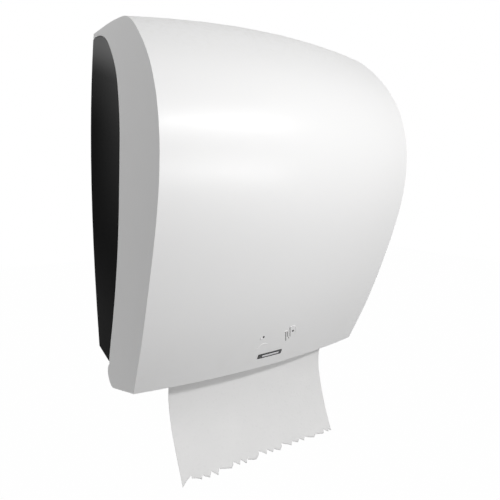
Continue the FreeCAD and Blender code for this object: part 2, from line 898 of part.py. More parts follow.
def knife_mouth():
    """The opening in the drum that the knife swings through."""
    wide = knife_half + knife_wall
    places = [
        knife_place(knife_tip_out + over, knife_tip_side + knife_hub_radius),
        knife_place(knife_tip_out * 0.5, knife_tip_side + knife_hub_radius),
        knife_place(knife_tip_out * 0.5, knife_pivot_side - knife_hub_radius),
        knife_place(knife_pivot_out - knife_hub_radius, knife_pivot_side - 1.5 * over),
        knife_place(knife_tip_out + over, knife_pivot_side - 1.5 * over),
    ]
    return plate(places, -wide, wide)


def drum_body():
    """The whole drum: shell, end discs, ribs and hub, with band grooves and the knife's mouth."""
    shell = pipe(drum_spot, drum_radius, drum_radius - drum_wall, -drum_half, drum_half)
    discs = [rod(drum_spot, drum_radius, side * drum_half - (drum_wall if side > 0 else 0.0),
                 side * drum_half + (drum_wall if side < 0 else 0.0)) for side in (-1, 1)]
    spine = rod(drum_spot, drum_hub_radius, -drum_half, drum_half)
    body = fuse([shell, spine] + discs)
    cuts = [rod(drum_spot, axle_radius, -drum_half - over, drum_half + over), knife_mouth()]
    for share in band_shares:
        middle = share * drum_half
        ring = pipe(drum_spot, drum_radius + over, drum_radius + band_proud - band_wall,
                    middle - band_width / 2, middle + band_width / 2)
        cuts.append(ring)
    pivot = knife_place(knife_pivot_out, knife_pivot_side)
    cuts.append(rod(pivot, knife_pin_radius + run_gap, -drum_half - over, drum_half + over))
    return body.cut(cuts)


def half_space(front):
    """The half of the drum's space on one side of its split, which passes through the axle."""
    size = drum_radius + 2 * over
    low = 0.0 if front else -size
    box = block(-drum_half - over, drum_half + over, drum_depth + low, drum_depth + low + size,
                drum_height - size, drum_height + size)
    return turned(box, drum_spot, knife_frame_angle + split_turn)


def drum_half_shell(body, front):
    """One half of the drum."""
    return body.common(half_space(front))


def grip_bands():
    """Rubber bands in the drum's grooves, open where the knife comes out."""
    bands = []
    for share in band_shares:
        middle = share * drum_half
        ring = pipe(drum_spot, drum_radius + band_proud, drum_radius + band_proud - band_wall,
                    middle - band_width / 2 + run_gap, middle + band_width / 2 - run_gap)
        bands.append(ring.cut(knife_mouth()))
    return Part.makeCompound(bands)


def drum_axle():
    """The steel axle through the frame, crank and hand wheel."""
    return rod(drum_spot, axle_radius, -axle_left - crank_wall - run_gap, axle_right)


def knife_carrier():
    """The moulded carrier: hubs at its ends, a web along the drum and the blade's seat."""
    pivot = knife_place(knife_pivot_out, knife_pivot_side)
    tip_out = knife_tip_out - blade_height * 0.75
    along = (knife_tip_out - knife_pivot_out, knife_tip_side - knife_pivot_side)
    size = math.hypot(*along)
    unit = (along[0] / size, along[1] / size)
    cross = (-unit[1], unit[0])

    def seat(run, off):
        return knife_place(knife_pivot_out + unit[0] * run + cross[0] * off,
                           knife_pivot_side + unit[1] * run + cross[1] * off)

    reach = size - blade_height * 0.45
    places = [seat(0.0, -knife_wall), seat(reach, -knife_wall), seat(reach, 0.0), seat(0.0, 0.0)]
    web = plate(places, -knife_half, knife_half)
    spine = rod(pivot, knife_hub_radius, -knife_half, knife_half)
    body = fuse([web, spine])
    return body.cut(rod(pivot, knife_pin_radius, -knife_half - over, knife_half + over))


def knife_blade():
    """The serrated steel blade on the carrier."""
    along = (knife_tip_out - knife_pivot_out, knife_tip_side - knife_pivot_side)
    size = math.hypot(*along)
    angle = knife_frame_angle + math.degrees(math.atan2(along[1], along[0]))
    pivot = knife_place(knife_pivot_out, knife_pivot_side)
    wide = knife_half - knife_wall
    pitch = 2 * wide / blade_teeth
    points = [(-wide, size - blade_height), (-wide, size - blade_tooth)]
    for tooth in range(blade_teeth):
        points.append((-wide + pitch * (tooth + 0.5), size))
        points.append((-wide + pitch * (tooth + 1), size - blade_tooth))
    points.append((wide, size - blade_height))
    flat = [spot(x, pivot[0] + run, pivot[1] + run_gap) for x, run in points]
    face = Part.Face(Part.makePolygon(flat + flat[:1]))
    blade = face.extrude(FreeCAD.Vector(0, 0, blade_wall))
    return turned(blade, pivot, angle)


def follower_place():
    """The cam follower's place at rest."""
    pivot = knife_place(knife_pivot_out, knife_pivot_side)
    return polar(pivot, follower_arm, knife_frame_angle + follower_turn)


def knife_pins():
    """The knife's pivot stubs with the follower levers outside the drum's ends."""
    pivot = knife_place(knife_pivot_out, knife_pivot_side)
    start = drum_half + seat_gap
    lever_wall = (plate_x - drum_half) * 0.3
    stub = rod(pivot, knife_pin_radius, knife_half - 2 * over, start + lever_wall)
    lever = rod(pivot, knife_hub_radius, start, start + lever_wall)
    end = rod(follower_place(), follower_pin_radius * 2, start, start + lever_wall)
    mid = ((pivot[0] + follower_place()[0]) / 2, (pivot[1] + follower_place()[1]) / 2)
    angle = math.degrees(math.atan2(follower_place()[1] - pivot[1], follower_place()[0] - pivot[0]))
    bar = block(start, start + lever_wall, mid[0] - follower_arm / 2, mid[0] + follower_arm / 2,
                mid[1] - follower_pin_radius * 1.6, mid[1] + follower_pin_radius * 1.6)
    bar = turned(bar, mid, angle)
    pin = rod(follower_place(), follower_pin_radius, start, plate_x - seat_gap)
    one = fuse([stub, lever, end, bar, pin])
    return Part.makeCompound([one, mirrored(one)])


def cam_rollers():
    """The rollers on the follower levers."""
    start = drum_half + seat_gap + (plate_x - drum_half) * 0.3 + seat_gap
    one = pipe(follower_place(), follower_radius, follower_pin_radius + run_gap, start, plate_x - seat_gap)
    return Part.makeCompound([one, mirrored(one)])


def cam_track(side_offset):
    """A closed line round the axle that the follower would trace, moved out by an offset."""
    pivot_reach = math.hypot(knife_pivot_out, knife_pivot_side)
    rest = math.hypot(follower_place()[0] - drum_depth, follower_place()[1] - drum_height)
    dip = rest - pivot_reach + follower_radius
    places = []
    for step in range(24):
        angle = 360.0 * step / 24
        away = (angle - cam_dip_angle + 180.0) % 360.0 - 180.0
        sink = dip * math.exp(-(away / cam_dip_spread) ** 2)
        places.append(polar(drum_spot, rest - sink + side_offset, angle))
    curve = Part.BSplineCurve()
    curve.interpolate([spot(0, *place) for place in places], PeriodicFlag=True)
    return Part.Face(Part.Wire(curve.toShape()))


def cam_cut():
    """The cam track as a cutter in the right-hand frame plate."""
    half = follower_radius + seat_gap
    ring = cam_track(half).cut(cam_track(-half))
    ring.translate(FreeCAD.Vector(plate_x - over, 0, 0))
    return ring.extrude(FreeCAD.Vector(over + cam_groove, 0, 0))


def frame_plate():
    """The right-hand frame plate, with its feet and cam track."""
    reach = pinch_pivot_depth - boss_top + pinch_arm_half * 1.5
    rise = drum_height + abs(chute_low) - seat_gap
    places = [(boss_top + a * reach, drum_height + b * rise) for a, b in plate_shares]
    body = plate(places, plate_x, plate_x + plate_wall, plate_wall)
    x0 = plate_x
    x1 = plate_x + plate_wall + foot_reach
    feet = []
    foot_half = boss_radius * 1.3
    for _, height in fixing_places()["frame"]:
        feet.append(block(x0, x1, boss_top, boss_top + foot_wall, height - foot_half, height + foot_half))
    rim = plate_wall * 2.0
    ring = pipe(drum_spot, bush_radius + rim, bush_radius, plate_x, plate_x + rim)
    body = fuse([body, ring] + feet)
    pivot = (pinch_pivot_depth, pinch_pivot_height)
    cuts = [
        rod(drum_spot, bush_radius, plate_x - over, plate_x + 2 * over), cam_cut(),
        rod(pivot, pinch_pivot_radius + run_gap, plate_x - over, plate_x + 2 * over),
    ]
    cuts += [post(x, height, pilot_radius + run_gap, boss_top - over, boss_top + over)
             for x, height in fixing_places()["frame"]]
    return body.cut(cuts)


def axle_bush():
    """The flanged bush in the left frame plate."""
    body = rod(drum_spot, bush_radius, plate_x - bush_flange, plate_x + plate_wall * 2.0)
    flange = rod(drum_spot, bush_flange_radius, plate_x - bush_flange, plate_x)
    bore = rod(drum_spot, axle_radius + run_gap, plate_x - over, plate_x + 2 * over)
    return mirrored(fuse([body, flange]).cut(bore))


def one_way_bearing():
    """The one-way needle bearing in the right frame plate, in its flanged carrier."""
    flange = rod(drum_spot, bush_flange_radius, plate_x - bush_flange, plate_x)
    body = rod(drum_spot, bush_radius, plate_x - bush_flange, plate_x + clutch_length)
    bore = rod(drum_spot, axle_radius + run_gap, plate_x - over, plate_x + 2 * over)
    return fuse([flange, body]).cut(bore)


def tie_bar():
    """The bar that ties the two frame plates at the back."""
    shank = rod((tie_depth, tie_height), tie_radius, -plate_x, plate_x)
    return shank


def crank():
    """The crank disc and pin on the left end of the axle."""
    outer = -axle_left
    disc = rod(drum_spot, crank_radius, outer - crank_wall, outer)
    disc = disc.cut(rod(drum_spot, axle_radius, outer - crank_wall - over, outer + over))
    pin_place = polar(drum_spot, crank_throw, 90.0)
    pin = rod(pin_place, crank_pin_radius, outer - crank_wall - crank_pin_length, outer)
    cap = rod(pin_place, crank_pin_radius * 1.7, outer - crank_wall - crank_pin_length,
              outer - crank_wall - crank_pin_length + bush_flange)
    return fuse([disc, pin, cap])


def spring_post():
    """The post on the left frame plate that anchors the drive spring."""
    place = (drum_depth, spring_post_height)
    outer = -axle_left - crank_wall - crank_pin_length
    shank = rod(place, crank_pin_radius, outer, -plate_x - plate_wall)
    cap = rod(place, crank_pin_radius * 1.7, outer, outer + bush_flange)
    return fuse([shank, cap])


def drive_spring():
    """The tension spring from the crank pin to its post, with an eye at each end."""
    x = -axle_left - crank_wall - crank_pin_length / 2
    low = drum_height + crank_throw
    gap = eye_radius + spring_wire
    bottom = low + gap + spring_radius
    top = spring_post_height - gap - spring_radius
    start = spot(x, drum_depth, bottom)
    up = FreeCAD.Vector(0, 0, 1)
    side = FreeCAD.Vector(0, 1, 0)
    body = coil(start, up, side, spring_radius, spring_wire, spring_turns, (top - bottom) / spring_turns)
    pieces = [body]
    for height, end in ((low, bottom), (spring_post_height, top)):
        eye = Part.makeTorus(eye_radius, spring_wire, spot(x, drum_depth, height), FreeCAD.Vector(1, 0, 0))
        way = 1.0 if end > height else -1.0
        neck = Part.makeCylinder(spring_wire, abs(end - height) - eye_radius,
                                 spot(x, drum_depth, height + way * eye_radius), FreeCAD.Vector(0, 0, way))
        bar = Part.makeCylinder(spring_wire, spring_radius, spot(x, drum_depth, end), side)
        ball = Part.makeSphere(spring_wire, spot(x, drum_depth, end))
        pieces += [eye, neck, bar, ball]
    return fuse(pieces)


def hand_wheel():
    """The fluted wheel on the right end of the axle, which feeds paper by hand."""
    start = wheel_x
    end = start + wheel_width
    rim = pipe(drum_spot, wheel_radius, wheel_radius - wheel_rim, start, end)
    hub = rod(drum_spot, drum_hub_radius, start, end)
    inner = (start + end) / 2
    spokes = []
    for number in range(wheel_spokes):
        spoke = block(inner - wheel_rim / 2, inner + wheel_rim / 2,
                      drum_depth, drum_depth + wheel_radius - wheel_rim / 2,
                      drum_height - wheel_rim / 2, drum_height + wheel_rim / 2)
        spokes.append(turned(spoke, drum_spot, 360.0 * number / wheel_spokes))
    wheel = fuse([rim, hub] + spokes)
    cuts = [rod(drum_spot, axle_radius, start - over, end + over)]
    for number in range(wheel_flutes):
        place = polar(drum_spot, wheel_radius + flute_radius * 0.4, 360.0 * number / wheel_flutes)
        cuts.append(rod(place, flute_radius, start - over, end + over))
    return wheel.cut(cuts)


def pinch_spot():
    """The pinch roller's middle."""
    reach = drum_radius + band_proud + soft_gap + paper + seat_gap + pinch_radius
    return polar(drum_spot, reach, pinch_angle)


def pinch_axle():
    """The steel axle of the pinch roller."""
    return rod(pinch_spot(), pinch_axle_radius, -pinch_arm_x - pinch_arm_wall + seat_gap,
               pinch_arm_x + pinch_arm_wall - seat_gap)


def pinch_rollers():
    """Rubber sleeves along the pinch axle."""
    sleeves = []
    span = 2 * paper_half_width - pinch_sleeve_width
    for number in range(pinch_sleeves):
        middle = -span / 2 + span * number / (pinch_sleeves - 1)
        sleeves.append(pipe(pinch_spot(), pinch_radius, pinch_axle_radius,
                            middle - pinch_sleeve_width / 2, middle + pinch_sleeve_width / 2))
    return Part.makeCompound(sleeves)


def pinch_arm():
    """The swinging frame that presses the pinch roller on the drum."""
    pivot = (pinch_pivot_depth, pinch_pivot_height)
    roller = pinch_spot()
    angle = math.degrees(math.atan2(pivot[1] - roller[1], pivot[0] - roller[0]))
    length = math.hypot(pivot[0] - roller[0], pivot[1] - roller[1])
    x0 = pinch_arm_x
    x1 = pinch_arm_x + pinch_arm_wall
    bar_half = pinch_arm_half * 0.8
    bar = block(x0, x1, roller[0], roller[0] + length, roller[1] - bar_half, roller[1] + bar_half)
    bar = turned(bar, roller, angle)
    cheek = fuse([bar, rod(roller, pinch_arm_half, x0, x1), rod(pivot, pinch_arm_half, x0, x1),
                  rod(pivot, pinch_pivot_radius, x0, plate_x + plate_wall)])
    cheek = cheek.cut(rod(roller, pinch_axle_radius + run_gap, x0 - over, x1 + over))
    beam_start = polar(roller, length * 0.5, angle)
    beam = block(-x0 - seat_gap, x0 + seat_gap, beam_start[0], beam_start[0] + length * 0.42,
                 beam_start[1] - pinch_beam / 2, beam_start[1] + pinch_beam / 2)
    beam = turned(beam, beam_start, angle)
    return fuse([cheek, mirrored(cheek), beam])


def paper_line():
    """The paper's run from the drum to the slot: leaving angle, leaving place and slot place."""
    reach = drum_radius + band_proud + soft_gap + paper / 2
    slot = (tail_depth, tail_height)
    run = (drum_depth - slot[0], drum_height - slot[1])
    gap = math.hypot(*run)
    angle = math.degrees(math.atan2(-run[1], -run[0]) + math.acos(reach / gap))
    return angle, polar(drum_spot, reach, angle), slot


def along_paper(height, off):
    """A place beside the straight run of the paper, ahead of it by an offset."""
    _, leave, slot = paper_line()
    share = (height - slot[1]) / (leave[1] - slot[1])
    return (slot[0] + (leave[0] - slot[0]) * share + off, height)


def paper_chute():
    """The two guide walls below the drum, with the stripper comb on the rear one."""
    wide = plate_x - seat_gap
    top, low = chute_top, chute_low
    rear = [
        along_paper(top, -chute_gap), along_paper(low, -chute_gap),
        along_paper(low, -chute_gap - chute_wall), along_paper(top, -chute_gap - chute_wall),
    ]
    foot = low * 0.6
    knee = top * 0.7
    throat = chute_mouth * 0.8
    front = [
        along_paper(foot, chute_mouth), along_paper(knee, throat), along_paper(top, throat + chute_flare),
        along_paper(top, throat + chute_flare + chute_wall * 1.4), along_paper(knee, throat + chute_wall),
        along_paper(foot, chute_mouth + chute_wall),
    ]
    walls = [plate(rear, -wide, wide), plate(front, -wide, wide)]
    ends = []
    for side in (-1, 1):
        x0 = side * wide if side < 0 else wide - chute_wall
        end = plate([rear[2], rear[3], rear[0], front[1], front[5]], x0, x0 + chute_wall)
        ends.append(end)
    teeth = []
    pitch = 2 * paper_half_width / comb_teeth
    reach = drum_radius + band_proud + soft_gap
    tip = polar(drum_spot, reach + soft_gap, paper_line()[0] - comb_angle)
    for tooth in range(comb_teeth):
        x = -paper_half_width + pitch * (tooth + 0.5)
        teeth.append(plate([rear[0], tip, rear[3]], x - comb_width / 2, x + comb_width / 2))
    return fuse(walls + ends + teeth)


def top_guide():
    """The beam across the front of the frame, over the pinch arm."""
    front = pinch_pivot_depth + pinch_arm_half
    wide = plate_x - seat_gap
    shelf = block(-wide, wide, guide_depth, front, guide_height, guide_height + cover_wall)
    lip = block(-wide, wide, front - cover_wall, front,
                guide_height - cover_wall * 1.2, guide_height + cover_wall)
    return fuse([shelf, lip])


def pinch_springs():
    """Two leaf springs under the guide that press the pinch arm."""
    pivot = (pinch_pivot_depth, pinch_pivot_height)
    roller = pinch_spot()
    angle = math.degrees(math.atan2(pivot[1] - roller[1], pivot[0] - roller[0]))
    length = math.hypot(pivot[0] - roller[0], pivot[1] - roller[1])
    touch = polar(polar(roller, length * 0.62, angle), pinch_beam / 2 + seat_gap + leaf_wall, angle + 90.0)
    top = (guide_depth + leaf_set, guide_height - seat_gap)
    bend = (guide_depth + leaf_set / 3, guide_height - leaf_bend)
    outer = [top, bend, touch]
    edge = smooth_side(outer)
    back = smooth_side([(d + leaf_wall, h + leaf_wall * 0.2) for d, h in outer])
    caps = straight([outer[-1], (outer[-1][0] + leaf_wall, outer[-1][1] + leaf_wall * 0.2)])
    caps += straight([outer[0], (outer[0][0] + leaf_wall, outer[0][1] + leaf_wall * 0.2)])
    face = Part.Face(Part.Wire(Part.sortEdges([edge, back] + caps)[0]))
    leaves = []
    for x in (-leaf_x, leaf_x):
        copy = face.copy()
        copy.translate(FreeCAD.Vector(x - leaf_width / 2, 0, 0))
        leaves.append(copy.extrude(FreeCAD.Vector(leaf_width, 0, 0)))
    return Part.makeCompound(leaves)


def tail_line(off):
    """The paper's middle line from the nip over the drum to the torn end, moved out."""
    angle, leave, slot = paper_line()
    reach = drum_radius + band_proud + soft_gap + paper / 2 + off
    start = polar(drum_spot, reach, tail_start_angle)
    middle = polar(drum_spot, reach, (tail_start_angle + angle) / 2)
    leave = polar(drum_spot, reach, angle)
    slot = (slot[0] + off, slot[1])
    hang = [(slot[0] + tail_curl * out, slot[1] - tail_drop * down) for out, down in tail_shares]
    edges = [bow(start, middle, leave)] + straight([leave, slot]) + [smooth_from(leave, hang)]
    return edges, start, hang[-1]


def paper_tail():
    """The loose end of the paper, cut with teeth."""
    inner, inner_start, inner_end = tail_line(-paper / 2)
    outer, outer_start, outer_end = tail_line(paper / 2)
    caps = straight([inner_start, outer_start]) + straight([inner_end, outer_end])
    face = Part.Face(Part.Wire(Part.sortEdges(inner + outer + caps)[0]))
    face.translate(FreeCAD.Vector(-paper_half_width, 0, 0))
    sheet = face.extrude(FreeCAD.Vector(2 * paper_half_width, 0, 0))
    pitch = 2 * paper_half_width / tail_teeth
    low = tail_height - tail_drop
    points = []
    for tooth in range(tail_teeth):
        x = -paper_half_width + pitch * tooth
        points.append(FreeCAD.Vector(x, 0, low))
        points.append(FreeCAD.Vector(x + pitch / 2, 0, low + tail_tooth))
    points += [FreeCAD.Vector(paper_half_width, 0, low), FreeCAD.Vector(paper_half_width, 0, low - over),
               FreeCAD.Vector(-paper_half_width, 0, low - over), FreeCAD.Vector(-paper_half_width, 0, low)]
    teeth = Part.Face(Part.makePolygon(points)).extrude(FreeCAD.Vector(0, -front_reach, 0))
    return sheet.cut(teeth)


# The rear housing and what is fixed in it
save("rear_housing", rear_housing())
save("hinge_pins", hinge_pins())
save("lock_keeper", lock_keeper())
arm = roll_arm()
save("roll_arm_right", arm)
save("roll_arm_left", mirrored(arm))
save("roll_arm_screws", fixing_screws("arm"))
save("fixed_hub", fixed_hub())
frame = frame_plate()
save("frame_plate_right", frame)
save("frame_plate_left", mirrored(frame))
save("frame_screws", fixing_screws("frame"))
save("axle_bush", axle_bush())
save("one_way_bearing", one_way_bearing())
save("tie_bar", tie_bar())
save("spring_post", spring_post())
save("drive_spring", drive_spring())
save("paper_chute", paper_chute())
save("top_guide", top_guide())
save("pinch_springs", pinch_springs())
save("paper_tail", paper_tail())

# The cover and its lock
save("front_cover", front_cover())
save("cover_badge", cover_badge())
save("lock_barrel", lock_barrel())
save("lock_tongue", lock_tongue())

# The roll and its sprung hub
save("paper_roll", paper_roll())
save("roll_core", roll_core())
save("sprung_hub", sprung_hub())
save("hub_clip", hub_clip())
save("hub_spring", hub_spring())

# The feed drum and its knife
drum = drum_body()
save("drum_front_half", drum_half_shell(drum, True))
save("drum_rear_half", drum_half_shell(drum, False))
save("grip_bands", grip_bands())
save("drum_axle", drum_axle())
save("crank", crank())
save("hand_wheel", hand_wheel())
save("knife_carrier", knife_carrier())
save("knife_blade", knife_blade())
save("knife_pins", knife_pins())
save("cam_rollers", cam_rollers())

# The pinch roller
save("pinch_arm", pinch_arm())
save("pinch_axle", pinch_axle())
save("pinch_rollers", pinch_rollers())
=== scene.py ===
import math

import bpy
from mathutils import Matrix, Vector


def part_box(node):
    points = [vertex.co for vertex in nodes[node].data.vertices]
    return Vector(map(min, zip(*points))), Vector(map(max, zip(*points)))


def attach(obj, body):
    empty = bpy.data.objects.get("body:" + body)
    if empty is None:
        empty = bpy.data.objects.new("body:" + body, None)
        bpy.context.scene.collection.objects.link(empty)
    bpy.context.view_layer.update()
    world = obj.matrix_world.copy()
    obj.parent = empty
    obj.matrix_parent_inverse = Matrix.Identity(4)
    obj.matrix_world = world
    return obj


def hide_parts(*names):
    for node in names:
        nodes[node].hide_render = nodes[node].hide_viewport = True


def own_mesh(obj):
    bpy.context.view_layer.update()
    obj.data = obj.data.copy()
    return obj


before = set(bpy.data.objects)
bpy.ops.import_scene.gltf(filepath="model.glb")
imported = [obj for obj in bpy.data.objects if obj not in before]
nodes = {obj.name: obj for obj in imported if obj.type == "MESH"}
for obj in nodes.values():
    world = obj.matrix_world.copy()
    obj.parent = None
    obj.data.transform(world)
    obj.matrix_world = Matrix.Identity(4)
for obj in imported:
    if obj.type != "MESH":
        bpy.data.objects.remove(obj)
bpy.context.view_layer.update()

# Places are in metres from the middle of the wall screws: x across, y into the wall, z up.
LOW_EDGE = -0.265           # height of the cover's lower edge
SHEET_HALF_WIDTH = 0.110
SHEET_LENGTH = 0.2563       # of the paper's pattern along the sheet
LOCK_OUT = 0.028            # how far the lock's middle stands out from the wall
SHARP = math.radians(40.0)  # edges that turn more than this are rounded or shaded as edges


# Shader maths

class Amount:
    """A socket that can be added, taken away, multiplied and raised as a number is."""

    def __init__(self, finish, socket):
        self.finish = finish
        self.socket = socket

    def reckon(self, operation, *parts):
        return self.finish.node("ShaderNodeMath", {"operation": operation}, dict(enumerate(parts)))

    def __add__(self, other):
        return self.reckon("ADD", self, other)

    __radd__ = __add__

    def __mul__(self, other):
        return self.reckon("MULTIPLY", self, other)

    def __sub__(self, other):
        return self.reckon("SUBTRACT", self, other)

    def __rsub__(self, other):
        return self.reckon("SUBTRACT", other, self)

    def __pow__(self, other):
        return self.reckon("POWER", self, other)

    def size(self):
        return self.reckon("ABSOLUTE", self)

    def wave(self):
        return self.reckon("SINE", self)

    def rising(self, low, high):
        """0 below one amount, 1 above the other, and smooth between them."""
        return self.finish.node(
            "ShaderNodeMapRange", {"interpolation_type": "SMOOTHSTEP"},
            {"Value": self, "From Min": low, "From Max": high})


class Finish:
    """The material of one kind of surface, built from procedural nodes."""

    def __init__(self, name):
        self.material = bpy.data.materials.new(name)
        self.material.use_nodes = True
        self.tree = self.material.node_tree
        self.skin = self.tree.nodes["Principled BSDF"]
        self.place = self.node("ShaderNodeTexCoord", {}, {}, "Object")

    def node(self, kind, settings, values, output=0):
        """Any node: its settings first, then its sockets' values or links."""
        made = self.tree.nodes.new(kind)
        for key, value in settings.items():
            setattr(made, key, value)
        for key, value in values.items():
            if isinstance(value, Amount):
                self.tree.links.new(value.socket, made.inputs[key])
            else:
                made.inputs[key].default_value = value
        return Amount(self, made.outputs[output])

    def skin_is(self, **values):
        """Give the shader's own sockets their values or links; underscores stand for spaces."""
        for key, value in values.items():
            socket = self.skin.inputs[key.replace("_", " ")]
            if isinstance(value, Amount):
                self.tree.links.new(value.socket, socket)
            else:
                socket.default_value = value

    def stretched(self, x, y, z, turn=(0.0, 0.0, 0.0)):
        """The object's place, turned and then scaled along each axis."""
        return self.node("ShaderNodeMapping", {"vector_type": "POINT"},
                         {"Vector": self.place, "Rotation": turn, "Scale": (x, y, z)})

    def along(self, axis, place=None):
        return self.node("ShaderNodeSeparateXYZ", {}, {"Vector": place or self.place}, axis)

    def speckle(self, scale, detail=2.0, rough=0.5, place=None, warp=0.0):
        return self.node("ShaderNodeTexNoise", {}, {
            "Vector": place or self.place, "Scale": scale, "Detail": detail,
            "Roughness": rough, "Distortion": warp})

    def cells(self, scale, place=None):
        return self.node("ShaderNodeTexVoronoi", {}, {"Vector": place or self.place, "Scale": scale})

    def rings(self, reach, scale, detail):
        """Uneven bands that follow an amount, such as the distance from a middle."""
        return self.node("ShaderNodeTexNoise", {"noise_dimensions": "1D"},
                         {"W": reach, "Scale": scale, "Detail": detail})

    def blend(self, share, first, second):
        """One colour where the share is 0 and the other where it is 1."""
        made = self.tree.nodes.new("ShaderNodeMix")
        made.data_type = "RGBA"
        sockets = (made.inputs["Factor"], made.inputs[6], made.inputs[7])
        for socket, value in zip(sockets, (share, first, second)):
            if isinstance(value, Amount):
                self.tree.links.new(value.socket, socket)
            else:
                socket.default_value = value if isinstance(value, float) else (*value[:3], 1.0)
        return Amount(self, made.outputs[2])

    def relief(self, height, depth, share=1.0, under=None):
        """Turn a height from 0 to 1 into bumps that are a depth in metres deep."""
        values = {"Height": height, "Distance": depth, "Strength": share}
        if under is not None:
            values["Normal"] = under
        return self.node("ShaderNodeBump", {}, values)


def grey(level, tint=(0.0, 0.0, 0.0)):
    return tuple(max(0.0, level + t) for t in tint)


# Finishes

def moulded(name, colour, gloss, grain=0.00002, fade=0.03):
    """Injection-moulded plastic: a fine eroded texture, faint flow marks and slight shine changes."""
    f = Finish(name)
    flow = f.speckle(9.0, 3.0, 0.55, f.stretched(1.0, 1.0, 0.45), 0.6)
    fine = f.speckle(1500.0, 2.0, 0.6)
    rub = f.speckle(38.0, 4.0, 0.62)
    darker = tuple(c * (1.0 - fade) for c in colour)
    lighter = tuple(min(1.0, c * (1.0 + fade * 0.5)) for c in colour)
    f.skin_is(
        Base_Color=f.blend(flow * 0.7 + rub * 0.3, darker, lighter),
        Roughness=gloss + (rub - 0.5) * 0.12 + (fine - 0.5) * 0.05,
        Normal=f.relief(fine, grain, 0.6, f.relief(flow, 0.0004, 0.25)),
    )
    return f.material


def cover_white():
    """Satin white cover, with a dust film on top and faint handling marks near the bottom edge."""
    f = Finish("satin_white_cover")
    flow = f.speckle(5.0, 3.0, 0.5, f.stretched(1.0, 1.0, 0.4), 0.5)
    rub = f.speckle(42.0, 5.0, 0.62)
    fine = f.speckle(1700.0, 2.0, 0.6)
    height = f.along(2)
    facing = f.node("ShaderNodeNewGeometry", {}, {}, "Normal")
    top = f.along(2, facing).rising(0.55, 0.98)
    dust = top * f.speckle(160.0, 4.0, 0.7).rising(0.42, 0.7)
    handled = height.rising(LOW_EDGE + 0.075, LOW_EDGE + 0.0) * rub.rising(0.5, 0.75)
    white = f.blend(flow, (0.868, 0.866, 0.864), (0.888, 0.886, 0.884))
    dusty = f.blend(dust * 0.35, white, (0.74, 0.73, 0.70))
    f.skin_is(
        Base_Color=f.blend(handled * 0.22, dusty, (0.79, 0.775, 0.75)),
        Roughness=0.34 + (rub - 0.5) * 0.10 + dust * 0.25 - handled * 0.06,
        Specular_IOR_Level=0.42,
        Normal=f.relief(fine, 0.00002, 0.5, f.relief(flow, 0.0003, 0.2)),
    )
    return f.material


def smoke_black():
    """Polished near-black housing with fine wiping scratches, and a painted reflection that greys it towards
    its top and front and a little at its foot.
    """
    f = Finish("smoke_black_housing")
    height, out = f.along(2), f.along(1) * -1.0
    swirl = f.speckle(7.0, 3.0, 0.5, f.stretched(1.0, 1.0, 0.35), 0.8)
    scratch = f.speckle(30.0, 3.0, 0.5, f.stretched(1.0, 24.0, 2.0, (0.35, 0.0, 0.0)))
    wiped = scratch.rising(0.63, 0.70)
    fine = f.speckle(1400.0, 2.0, 0.6)
    # Painted reflection and light: grey is added to the colour towards the top and front and a little at the
    # foot, where the pale room would be mirrored and lit.
    forward = height + out * 0.2886
    upper = forward.rising(0.0134, 0.2) * 0.127 + forward.rising(0.0794, 0.1165) * 0.177
    front = out.rising(0.0, 0.15) * height.rising(-0.173, 0.1) * 0.093
    foot = height.rising(-0.10, -0.22) * 0.018
    painted_reflection = (upper + front + foot) * (0.94 + swirl * 0.12)
    f.skin_is(
        Base_Color=f.blend(painted_reflection * 2.0, (0.0004, 0.0004, 0.0005), (0.5, 0.5, 0.502)),
        Roughness=0.30 + swirl * 0.10 + wiped * 0.12,
        Specular_IOR_Level=0.0015,
        Normal=f.relief(fine, 0.00001, 0.4, f.relief(wiped, 0.00002, 0.4)),
    )
    return f.material


def steel(name, tone, gloss, way=(1.0, 40.0, 40.0)):
    """Drawn steel: fine lines along the draw, darker spots and a changing shine."""
    f = Finish(name)
    lines = f.speckle(90.0, 3.0, 0.6, f.stretched(*way))
    spots = f.speckle(210.0, 4.0, 0.7)
    stain = spots.rising(0.60, 0.78)
    drawn = f.blend(lines, grey(tone * 0.86), grey(tone))
    f.skin_is(
        Base_Color=f.blend(stain * 0.5, drawn, grey(tone * 0.45, (0.02, 0.01, 0.0))),
        Metallic=1.0 - stain * 0.25,
        Roughness=gloss + lines * 0.12 + stain * 0.2,
        Normal=f.relief(lines, 0.00003, 0.5),
    )
    return f.material


def rubber():
    """Matte black rubber with a fine ground surface and pale paper dust in it."""
    f = Finish("ground_rubber")
    ground = f.speckle(900.0, 3.0, 0.65)
    lint = f.speckle(260.0, 4.0, 0.7).rising(0.56, 0.72)
    black = f.blend(ground, (0.018, 0.018, 0.019), (0.036, 0.036, 0.037))
    f.skin_is(
        Base_Color=f.blend(lint * 0.45, black, (0.42, 0.41, 0.39)),
        Roughness=0.80 + ground * 0.12 - lint * 0.05,
        Specular_IOR_Level=0.3,
        Normal=f.relief(ground, 0.00006, 0.8),
    )
    return f.material


